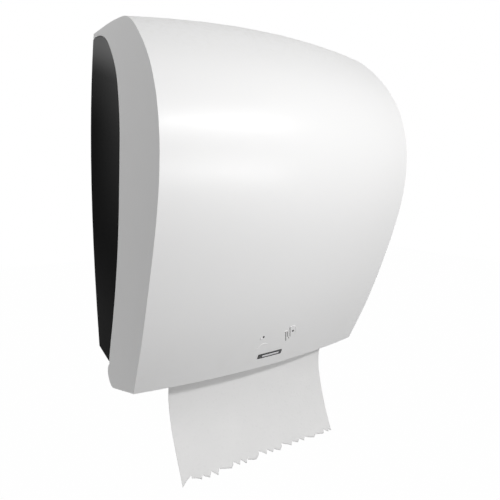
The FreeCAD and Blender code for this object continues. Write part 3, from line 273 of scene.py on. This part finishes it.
def sheet_paper():
    """Soft crepe paper: cross ribs, long fibres, small embossed dots and a slight unevenness."""
    f = Finish("crepe_paper")
    flat = f.node("ShaderNodeTexCoord", {}, {}, "UV")
    spread = f.node("ShaderNodeMapping", {"vector_type": "POINT"}, {
        "Vector": flat, "Scale": (2 * SHEET_HALF_WIDTH, SHEET_LENGTH, 1.0)})
    crepe = f.speckle(620.0, 3.0, 0.6, f.node(
        "ShaderNodeMapping", {"vector_type": "POINT"}, {"Vector": spread, "Scale": (0.22, 1.6, 1.0)}), 0.4)
    fibre = f.speckle(240.0, 5.0, 0.7, f.node(
        "ShaderNodeMapping", {"vector_type": "POINT"}, {"Vector": spread, "Scale": (1.0, 3.0, 1.0)}), 1.2)
    cloud = f.speckle(30.0, 3.0, 0.55, spread)
    dots = f.cells(190.0, spread).rising(0.35, 0.10)
    sheet = f.blend(cloud * 0.6 + fibre * 0.4, (0.825, 0.822, 0.818), (0.890, 0.886, 0.882))
    f.skin_is(
        Base_Color=f.blend(dots * 0.08, sheet, (0.70, 0.70, 0.70)),
        Roughness=0.86 + fibre * 0.10,
        Specular_IOR_Level=0.15,
        Sheen_Weight=0.08,
        Normal=f.relief(crepe * 0.6 + fibre * 0.4, 0.00012, 0.7, f.relief(dots, 0.00010, 0.6)),
    )
    return f.material


def wound_paper(middle_y, middle_z):
    """The roll: crepe on the outside and the edges of the wound layers on the ends."""
    f = Finish("wound_paper")
    across = f.along(1) - middle_y
    up = f.along(2) - middle_z
    reach = (across * across + up * up) ** 0.5
    facing = f.node("ShaderNodeNewGeometry", {}, {}, "Normal")
    ends = f.along(0, facing).size().rising(0.6, 0.9)
    loose = f.speckle(40.0, 3.0, 0.6)
    layers = ((reach * 5200.0 + loose * 9.0).wave() + 1.0) * 0.5
    bands = f.rings(reach, 420.0, 4.0)
    fibre = f.speckle(260.0, 4.0, 0.7, f.stretched(0.4, 1.0, 1.0), 1.0)
    dots = f.cells(190.0).rising(0.35, 0.10) * (1.0 - ends)
    outside = f.blend(fibre, (0.72, 0.72, 0.71), (0.80, 0.80, 0.79))
    edges = f.blend(layers * 0.35 + bands * 0.65, (0.55, 0.55, 0.54), (0.80, 0.80, 0.79))
    height = (layers * 0.5 + bands * 0.5) * ends + fibre * (1.0 - ends) * 0.6
    f.skin_is(
        Base_Color=f.blend(ends, f.blend(dots * 0.3, outside, (0.66, 0.66, 0.65)), edges),
        Roughness=0.88 + fibre * 0.08,
        Specular_IOR_Level=0.12,
        Normal=f.relief(height, 0.0002, 0.6, f.relief(dots, 0.0001, 0.5)),
    )
    return f.material


def board():
    """Brown board of the core, with its wound seam and grey recycled flecks."""
    f = Finish("core_board")
    grain = f.speckle(120.0, 5.0, 0.7, f.stretched(0.3, 1.0, 1.0))
    flecks = f.cells(700.0).rising(0.16, 0.06)
    seam = ((f.along(0) * 70.0 + f.along(2) * 60.0).wave()).rising(0.93, 1.0)
    brown = f.blend(grain, (0.34, 0.245, 0.155), (0.45, 0.335, 0.22))
    f.skin_is(
        Base_Color=f.blend(flecks * 0.5 + seam * 0.4, brown, (0.20, 0.15, 0.11)),
        Roughness=0.84 + grain * 0.1,
        Specular_IOR_Level=0.2,
        Normal=f.relief(grain, 0.00012, 0.6, f.relief(1.0 - seam, 0.0002, 0.6)),
    )
    return f.material


def plated():
    """Nickel plate of the lock, with key scratches round the slot."""
    f = Finish("nickel_plate")
    x, y = f.along(0), f.along(1) + LOCK_OUT
    reach = (x * x + y * y) ** 0.5
    turned = f.rings(reach, 2400.0, 3.0)
    marks = f.speckle(240.0, 3.0, 0.6, f.stretched(6.0, 1.0, 1.0, (0.0, 0.0, 0.7))).rising(0.60, 0.68)
    f.skin_is(
        Base_Color=f.blend(turned, (0.60, 0.59, 0.57), (0.72, 0.71, 0.69)),
        Metallic=1.0 - marks * 0.1,
        Roughness=0.18 + turned * 0.10 + marks * 0.22,
        Normal=f.relief(turned, 0.00002, 0.5, f.relief(marks, 0.00003, 0.5)),
    )
    return f.material


def badge_plate():
    """The bare dark plate: brushed along its length."""
    f = Finish("dark_brushed_plate")
    lines = f.speckle(80.0, 3.0, 0.6, f.stretched(1.0, 30.0, 30.0))
    f.skin_is(
        Base_Color=f.blend(lines, (0.030, 0.030, 0.032), (0.060, 0.060, 0.062)),
        Metallic=0.35 + lines * 0.1,
        Roughness=0.34 + lines * 0.14,
        Normal=f.relief(lines, 0.00003, 0.5),
    )
    return f.material


def badge_inlay():
    """The bare pale strip in the plate."""
    f = Finish("pale_brushed_strip")
    lines = f.speckle(90.0, 3.0, 0.6, f.stretched(1.0, 30.0, 30.0))
    f.skin_is(
        Base_Color=f.blend(lines, (0.62, 0.62, 0.63), (0.76, 0.76, 0.77)),
        Metallic=0.25 + lines * 0.1,
        Roughness=0.30 + lines * 0.14,
        Normal=f.relief(lines, 0.00003, 0.5),
    )
    return f.material


white = cover_white()
smoke = smoke_black()
paper = sheet_paper()
frame_grey = moulded("frame_grey_plastic", (0.115, 0.118, 0.122), 0.46, 0.00004)
arm_grey = moulded("arm_grey_plastic", (0.30, 0.305, 0.31), 0.44, 0.00004)
hub_white = moulded("hub_white_plastic", (0.72, 0.72, 0.705), 0.36)
drum_black = moulded("drum_black_plastic", (0.022, 0.022, 0.024), 0.42, 0.00005, 0.12)
wheel_green = moulded("wheel_green_plastic", (0.035, 0.20, 0.09), 0.40, 0.00004, 0.06)
roller_pale = moulded("roller_acetal", (0.74, 0.74, 0.72), 0.32)
grip_rubber = rubber()
bright_steel = steel("drawn_steel", 0.56, 0.24)
spring_steel = steel("spring_steel", 0.50, 0.28, (12.0, 12.0, 12.0))
blade_steel = steel("ground_blade_steel", 0.62, 0.20, (30.0, 1.0, 1.0))
plate_dark = badge_plate()
strip_pale = badge_inlay()
# Painted shade: a grey finish for the raised finger strokes that stands for the shade along their edges.
painted_shade_grey = moulded("painted_shade_grey", (0.20, 0.20, 0.20), 0.42)
nickel = plated()
card = board()

finish_of = {
    "front_cover": white, "cover_badge": plate_dark, "rear_housing": smoke,
    "frame_plate_right": frame_grey, "frame_plate_left": frame_grey, "paper_chute": frame_grey,
    "top_guide": frame_grey, "roll_arm_right": arm_grey, "roll_arm_left": arm_grey,
    "fixed_hub": hub_white, "sprung_hub": hub_white, "axle_bush": hub_white,
    "drum_front_half": drum_black, "drum_rear_half": drum_black, "crank": drum_black,
    "knife_carrier": drum_black, "pinch_arm": drum_black, "hand_wheel": wheel_green,
    "grip_bands": grip_rubber, "pinch_rollers": grip_rubber, "cam_rollers": roller_pale,
    "hinge_pins": bright_steel, "lock_keeper": bright_steel, "tie_bar": bright_steel,
    "drum_axle": bright_steel, "pinch_axle": bright_steel, "spring_post": bright_steel,
    "one_way_bearing": bright_steel,
    "roll_arm_screws": bright_steel, "frame_screws": bright_steel, "knife_pins": bright_steel,
    "hub_clip": spring_steel, "drive_spring": spring_steel, "hub_spring": spring_steel,
    "pinch_springs": spring_steel, "knife_blade": blade_steel,
    "lock_barrel": nickel, "lock_tongue": nickel, "roll_core": card,
    "paper_tail": paper, "paper_roll": paper,
}
for name, finish in finish_of.items():
    nodes[name].data.materials.clear()
    nodes[name].data.materials.append(finish)


# Modelling helpers

def alone():
    """Nothing selected, so that the next operator acts on its own piece only."""
    if bpy.context.mode != "OBJECT":
        bpy.ops.object.mode_set(mode="OBJECT")
    bpy.ops.object.select_all(action="DESELECT")


def settled(name, body, finish):
    """Name the active piece, put its place into its mesh and let it ride on its body."""
    piece = bpy.context.object
    bpy.ops.object.transform_apply(location=True, rotation=True, scale=True)
    piece.name = name
    piece.data.name = name
    piece.data.materials.clear()
    piece.data.materials.append(finish)
    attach(piece, body)


def rounded(width, segments):
    """Bevel the active piece's sharp edges and keep the result."""
    piece = bpy.context.object
    bevel = piece.modifiers.new("rounding", "BEVEL")
    bevel.width = width
    bevel.segments = segments
    bevel.limit_method = "ANGLE"
    bevel.angle_limit = SHARP
    bpy.ops.object.modifier_apply(modifier=bevel.name)
    bpy.ops.object.shade_smooth_by_angle(angle=SHARP)


def thickened(thick, offset):
    """Give the active sheet its thickness and keep the result."""
    wall = bpy.context.object.modifiers.new("thickness", "SOLIDIFY")
    wall.thickness = thick
    wall.offset = offset
    bpy.ops.object.modifier_apply(modifier=wall.name)


def faces_out():
    """Turn every face of the active piece outward."""
    bpy.ops.object.mode_set(mode="EDIT")
    bpy.ops.mesh.select_all(action="SELECT")
    bpy.ops.mesh.normals_make_consistent(inside=False)
    bpy.ops.object.mode_set(mode="OBJECT")


def joined(pieces):
    """Make one active piece of several."""
    alone()
    for piece in pieces:
        piece.select_set(True)
    bpy.context.view_layer.objects.active = pieces[0]
    if len(pieces) > 1:
        bpy.ops.object.join()


# The paper tail, from the nip over the drum to its torn end

# Places in the side view are pairs of y and z.
DRUM_Y, DRUM_Z = -0.062, -0.173
WRAP = 0.04725                  # the sheet's distance from the drum's middle
NIP_TURN = math.radians(48.0)   # where the sheet starts, round the drum
SLOT = (-0.093, -0.279)         # where it passes the slot
TORN_END = (-0.124, -0.382)
PULL, PUSH = 0.110, (-0.040, -0.075)    # how strongly the curve keeps its way at each end
PAPER_THICK = 0.00022
TEETH = 17.0
TOOTH_TIP = 0.76                # a tooth's tip, as a share of its width
TOOTH_DEPTH = 0.0066
TORN_FROM = 0.93                # the share of the sheet above which no vertex follows the teeth
HANGING = 0.103                 # the length that hangs free
RIPPLE, SMALL_RIPPLE = 0.0011, 0.0006
EDGE_CURL = 0.0016
TWIST, TWIST_ACROSS = 0.0020, 0.0045    # at the middle, and how much more at the right edge
BILLOW = 0.0022
TWIST_START, TWIST_RISE, TWIST_FALL = 0.150, 0.035, 0.075   # lengths before the torn end


def tail_path():
    """The sheet's line in the side view, as closely spaced places."""
    run = (-(SLOT[0] - DRUM_Y), SLOT[1] - DRUM_Z)
    gap = math.hypot(*run)
    leaving = math.atan2(run[1], run[0]) + math.acos(WRAP / gap)
    places = []
    for step in range(13):
        turn = NIP_TURN + (leaving - NIP_TURN) * step / 12
        places.append((DRUM_Y - WRAP * math.cos(turn), DRUM_Z + WRAP * math.sin(turn)))
    leave = places[-1]
    for step in range(1, 13):
        share = step / 12
        places.append(tuple(a + (b - a) * share for a, b in zip(leave, SLOT)))
    way = Vector((SLOT[0] - leave[0], SLOT[1] - leave[1])).normalized()
    start, end = Vector(SLOT), Vector(TORN_END)
    pull, push = way * PULL, Vector(PUSH)
    for step in range(1, 31):
        t = step / 30
        place = (start * (2 * t ** 3 - 3 * t ** 2 + 1) + pull * (t ** 3 - 2 * t ** 2 + t)
                 + end * (3 * t ** 2 - 2 * t ** 3) + push * (t ** 3 - t ** 2))
        places.append((place.x, place.y))
    return places


def torn_edge(x):
    """How far the sheet's torn end stands back at a place across it: a long first tooth, then skewed ones."""
    across = (x + SHEET_HALF_WIDTH) / (2 * SHEET_HALF_WIDTH)
    tooth = across * TEETH + 0.08 + 0.22 * math.cos(across * 31.0)
    share = tooth % 1.0
    number = math.floor(tooth)
    back = 0.0010 * (1.0 + math.sin(number * 1.7)) + 0.0022 * min(1.0, across * 12.0)
    if number == 0:
        tip, uneven = 0.3, 1.05
        back += 0.0030
    else:
        tip, uneven = TOOTH_TIP, 0.84 + 0.28 * math.sin(number * 2.399 + 0.7) - 0.42 * across ** 4
    reach = share / tip if share < tip else (1.0 - share) / (1.0 - tip)
    return TOOTH_DEPTH * uneven * (1.0 - reach) + back * (1.0 - 0.75 * across ** 2)


def paper_tail():
    """A thin crepe sheet with a torn lower end, curling slightly and not quite flat."""
    path = tail_path()
    lengths = [0.0]
    for before, after in zip(path, path[1:]):
        lengths.append(lengths[-1] + math.dist(before, after))
    whole = lengths[-1]

    def place_at(run):
        run = min(max(run, 0.0), whole)
        for index in range(len(path) - 1):
            if run <= lengths[index + 1] or index == len(path) - 2:
                share = (run - lengths[index]) / (lengths[index + 1] - lengths[index])
                a, b = Vector(path[index]), Vector(path[index + 1])
                return a.lerp(b, share), (b - a).normalized()

    alone()
    bpy.ops.mesh.primitive_grid_add(x_subdivisions=320, y_subdivisions=90, size=2.0, calc_uvs=True)
    piece = bpy.context.object
    for vertex in piece.data.vertices:
        x = vertex.co.x * SHEET_HALF_WIDTH
        down = (1.0 - vertex.co.y) / 2.0
        run = down * whole - torn_edge(x) * max(0.0, (down - TORN_FROM) / (1.0 - TORN_FROM))
        (y, z), way = place_at(run)
        hang = max(0.0, (run - (whole - HANGING)) / HANGING)
        side = x / SHEET_HALF_WIDTH
        ripple = RIPPLE * hang ** 1.4 * math.sin(x * 39.0 + 0.5)
        ripple += SMALL_RIPPLE * hang * math.sin(x * 88.0 + run * 60.0)
        edge_curl = EDGE_CURL * hang ** 2 * abs(side) ** 6
        free = min(1.0, max(0.0, (run - (whole - TWIST_START)) / TWIST_RISE))
        free *= min(1.0, (whole - run) / TWIST_FALL)
        twist = free * free * (3.0 - 2.0 * free) * (TWIST + TWIST_ACROSS * side)
        billow = BILLOW * (1.0 - side) / 2 * math.sin(math.pi * min(1.0, hang))
        off = ripple - edge_curl - twist - billow
        vertex.co = (x, y - way.y * off, z + way.x * off)
    thickened(PAPER_THICK, 0.0)
    bpy.ops.object.shade_smooth()
    settled("torn_paper_tail", "housing", paper)
    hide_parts("paper_tail")
    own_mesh(piece)


paper_tail()


# The wound roll

CORE_REACH = 0.0206     # the radius at which the wound paper starts
ROLL_MARGIN = 0.0001    # how far the roll stays inside its solid
ROLL_ROUNDING = 0.0012


def wound_roll():
    """The roll with its softly rounded outer edges and open middle."""
    low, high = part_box("paper_roll")
    middle_y, middle_z = (low.y + high.y) / 2, (low.z + high.z) / 2
    radius = (high.z - low.z) / 2
    alone()
    bpy.ops.mesh.primitive_cylinder_add(
        vertices=160, radius=radius - ROLL_MARGIN, depth=high.x - low.x - 2 * ROLL_MARGIN,
        location=(0.0, middle_y, middle_z), rotation=(0.0, math.pi / 2, 0.0))
    bpy.ops.object.mode_set(mode="EDIT")
    bpy.ops.mesh.select_mode(type="FACE")
    bpy.ops.mesh.select_all(action="DESELECT")
    bpy.ops.object.mode_set(mode="OBJECT")
    piece = bpy.context.object
    for face in piece.data.polygons:
        face.select = len(face.vertices) > 4
    bpy.ops.object.mode_set(mode="EDIT")
    bpy.ops.mesh.inset(thickness=radius - CORE_REACH, depth=0.0)
    bpy.ops.mesh.bridge_edge_loops()
    bpy.ops.object.mode_set(mode="OBJECT")
    faces_out()
    rounded(ROLL_ROUNDING, 3)
    settled("wound_towel_roll", "roll", wound_paper(middle_y, middle_z))
    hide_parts("paper_roll")


wound_roll()


# The bare badge and the raised picture signs on the cover's front

AHEAD = -1.0            # a place well in front of everything
SUNK = -0.0001          # how far the ridges' middles lie under the cover's surface


def on_face(node, x, z, out):
    """The place on a node's front straight in front of x and z, moved out along its normal."""
    place, normal = nodes[node].ray_cast(Vector((x, AHEAD, z)), Vector((0.0, 1.0, 0.0)))[1:3]
    return place + normal * out


INLAY_X, INLAY_Z = 0.0005, LOW_EDGE + 0.0170
INLAY_HALF_LENGTH, INLAY_HALF_HEIGHT, INLAY_THICK = 0.0120, 0.0011, 0.0003
INLAY_OUT, INLAY_ROUNDING = 0.0001, 0.00008


def pale_inlay():
    """The bare pale strip let into the dark plate, with softened edges."""
    alone()
    bpy.ops.mesh.primitive_grid_add(x_subdivisions=24, y_subdivisions=2, size=2.0)
    piece = bpy.context.object
    for vertex in piece.data.vertices:
        x = INLAY_X + vertex.co.x * INLAY_HALF_LENGTH
        vertex.co = on_face("cover_badge", x, INLAY_Z + vertex.co.y * INLAY_HALF_HEIGHT, INLAY_OUT)
    thickened(INLAY_THICK, 1.0)
    faces_out()
    rounded(INLAY_ROUNDING, 2)
    settled("pale_badge_inlay", "cover", strip_pale)


# The raised picture on the cover: a hand that draws a sheet, as places across and up in millimetres
FINGERS = [
    [(12.4, 45.2), (15.2, 38.6), (18.0, 32.0)],
    [(15.4, 45.0), (17.1, 41.0), (18.6, 37.6)],
    [(16.4, 51.4), (19.4, 44.2), (22.4, 37.0)],
    [(20.2, 36.0), (21.0, 34.8), (22.0, 34.6)],
]
KNUCKLES = [
    [(16.0, 50.6), (20.4, 52.6), (25.2, 50.8), (28.4, 46.0), (28.8, 40.0)],
    [(10.8, 45.4), (12.6, 47.6), (14.8, 46.4)],
    [(-22.6, 42.2), (-22.8, 45.6), (-20.4, 47.4)],
    [(-24.0, 29.0), (-20.0, 34.6), (-14.6, 36.2), (-9.6, 33.6)],
]


RIDGE_RADIUS = 0.00055


def raised_lines(name, lines, finish):
    """Rounded ridges on the cover's front, joined into one moulded piece."""
    made = []
    for line in lines:
        data = bpy.data.curves.new(name, "CURVE")
        data.dimensions = "3D"
        data.bevel_depth = RIDGE_RADIUS
        data.bevel_resolution = 2
        data.resolution_u = 5
        data.use_fill_caps = True
        spline = data.splines.new("NURBS")
        spline.points.add(len(line) - 1)
        for point, (x, z) in zip(spline.points, line):
            place = on_face("front_cover", x / 1000.0, LOW_EDGE + z / 1000.0, SUNK)
            point.co = (*place, 1.0)
        spline.order_u = 3
        spline.use_endpoint_u = True
        stroke = bpy.data.objects.new(name, data)
        bpy.context.scene.collection.objects.link(stroke)
        alone()
        stroke.select_set(True)
        bpy.context.view_layer.objects.active = stroke
        bpy.ops.object.convert(target="MESH")
        made.append(bpy.context.object)
    joined(made)
    bpy.ops.object.shade_smooth()
    settled(name, "cover", finish)


PIP_FLATNESS = 0.6


def pips(name, places, radius, finish):
    """Small rounded pips beside the picture, joined into one piece; in a dark finish they are painted shade.
    """
    made = []
    for x, z in places:
        place = on_face("front_cover", x, LOW_EDGE + z, 2 * SUNK)
        alone()
        bpy.ops.mesh.primitive_uv_sphere_add(segments=20, ring_count=10, radius=radius, location=place)
        bpy.ops.transform.resize(value=(1.0, PIP_FLATNESS, 1.0))
        bpy.ops.object.transform_apply(location=True, rotation=True, scale=True)
        bpy.ops.object.shade_smooth()
        made.append(bpy.context.object)
    joined(made)
    settled(name, "cover", finish)


pale_inlay()
raised_lines("raised_knuckles", KNUCKLES, white)
# The fingers' grey is painted shade along the raised strokes.
raised_lines("raised_fingers_painted_shade", FINGERS, painted_shade_grey)
# The dark pips are painted shade: dark discs where the raised picture's spots lie in shade.
pips("painted_shade_pips", ((-0.0194, 0.0454), (0.0238, 0.0446)), 0.0015, plate_dark)
pips("white_pip", ((-0.0218, 0.0446),), 0.0017, white)


# Stage, lights and camera

FLOOR_HEIGHT, FLOOR_WIDTH = -1.35, 14.0
FLOOR_SHARE = 0.992     # of plain white where the floor is seen; the rest keeps its shadow


def pale_stage():
    """A plain pale floor that keeps a soft shadow."""
    alone()
    bpy.ops.mesh.primitive_plane_add(size=FLOOR_WIDTH, location=(0.0, 0.0, FLOOR_HEIGHT))
    floor = bpy.context.object
    floor.name = "pale_floor"
    f = Finish("pale_floor")
    f.skin_is(Base_Color=(0.72, 0.72, 0.72, 1.0), Roughness=0.9)
    seen = f.node("ShaderNodeLightPath", {}, {}, "Is Camera Ray")
    mirrored = f.node("ShaderNodeLightPath", {}, {}, "Is Glossy Ray")
    through = f.node("ShaderNodeLightPath", {}, {}, "Is Transmission Ray")
    plain = f.node("ShaderNodeEmission", {}, {"Color": (1.0, 1.0, 1.0, 1.0), "Strength": 1.0})
    share = f.node("ShaderNodeMath", {"operation": "MINIMUM"}, {0: seen + mirrored + through, 1: 1.0})
    share = share * FLOOR_SHARE
    mixed = f.tree.nodes.new("ShaderNodeMixShader")
    f.tree.links.new(share.socket, mixed.inputs[0])
    f.tree.links.new(f.skin.outputs[0], mixed.inputs[1])
    f.tree.links.new(plain.socket, mixed.inputs[2])
    f.tree.links.new(mixed.outputs[0], f.tree.nodes["Material Output"].inputs["Surface"])
    floor.data.materials.append(f.material)


ROOM_LIGHT = 0.263


def pale_world():
    """White where it is seen or mirrored, and a dimmer even light on everything else."""
    world = bpy.data.worlds.new("pale_room")
    bpy.context.scene.world = world
    world.use_nodes = True
    tree = world.node_tree
    tree.nodes.clear()
    path = tree.nodes.new("ShaderNodeLightPath")
    seen = tree.nodes.new("ShaderNodeMath")
    seen.operation = "MAXIMUM"
    tree.links.new(path.outputs["Is Camera Ray"], seen.inputs[0])
    tree.links.new(path.outputs["Is Glossy Ray"], seen.inputs[1])
    both = tree.nodes.new("ShaderNodeMath")
    both.operation = "MAXIMUM"
    tree.links.new(seen.outputs[0], both.inputs[0])
    tree.links.new(path.outputs["Is Transmission Ray"], both.inputs[1])
    room = tree.nodes.new("ShaderNodeBackground")
    room.inputs["Color"].default_value = (1.0, 1.0, 1.0, 1.0)
    room.inputs["Strength"].default_value = ROOM_LIGHT
    plain = tree.nodes.new("ShaderNodeBackground")
    plain.inputs["Color"].default_value = (1.0, 1.0, 1.0, 1.0)
    plain.inputs["Strength"].default_value = 1.0
    mixed = tree.nodes.new("ShaderNodeMixShader")
    out = tree.nodes.new("ShaderNodeOutputWorld")
    tree.links.new(both.outputs[0], mixed.inputs[0])
    tree.links.new(room.outputs[0], mixed.inputs[1])
    tree.links.new(plain.outputs[0], mixed.inputs[2])
    tree.links.new(mixed.outputs[0], out.inputs["Surface"])


# Each soft light's name, place, aim, width and height, and power in watts.
SOFTBOXES = (
    ("upper_softbox", (0.10, -1.10, 0.45), (0.0, -0.2, 0.05), (0.9, 0.06), 5.72),
    ("low_softbox", (0.05, -0.80, -0.12), (0.0, -0.2, -0.05), (0.5, 0.08), 1.335),
    ("left_softbox", (-1.30, -0.50, 0.90), (-0.15, -0.1, 0.05), (0.6, 0.6), 3.25),
)


def softbox(name, place, aim, size, power):
    """An oblong soft light that the camera doesn't see."""
    data = bpy.data.lights.new(name, "AREA")
    data.shape = "RECTANGLE"
    data.size, data.size_y = size
    data.energy = power
    lamp = bpy.data.objects.new(name, data)
    bpy.context.scene.collection.objects.link(lamp)
    lamp.location = place
    lamp.rotation_euler = (Vector(aim) - Vector(place)).to_track_quat("-Z", "Y").to_euler()
    lamp.visible_camera = False


CAMERA_PLACE = (-0.33344, -0.57739, -0.03891)
CAMERA_TILT, CAMERA_TURN = math.radians(85.0), math.radians(-34.539)
SENSOR = 36.0
FOCAL_SHARE = 484.15 / 500.0    # the focal length as a share of the sensor's width
CAMERA_SHIFT = -0.0635


def camera():
    """The photograph's view: low and from the front left, fitted to the outline."""
    data = bpy.data.cameras.new("front_left_camera")
    seat = bpy.data.objects.new("front_left_camera", data)
    bpy.context.scene.collection.objects.link(seat)
    seat.location = CAMERA_PLACE
    seat.rotation_euler = (CAMERA_TILT, 0.0, CAMERA_TURN)
    data.sensor_width = SENSOR
    data.lens = FOCAL_SHARE * SENSOR
    data.shift_y = CAMERA_SHIFT
    data.clip_start = 0.02
    data.clip_end = 60.0
    bpy.context.scene.camera = seat


pale_stage()
pale_world()
for lamp in SOFTBOXES:
    softbox(*lamp)
camera()
bpy.context.scene.view_settings.view_transform = "Standard"
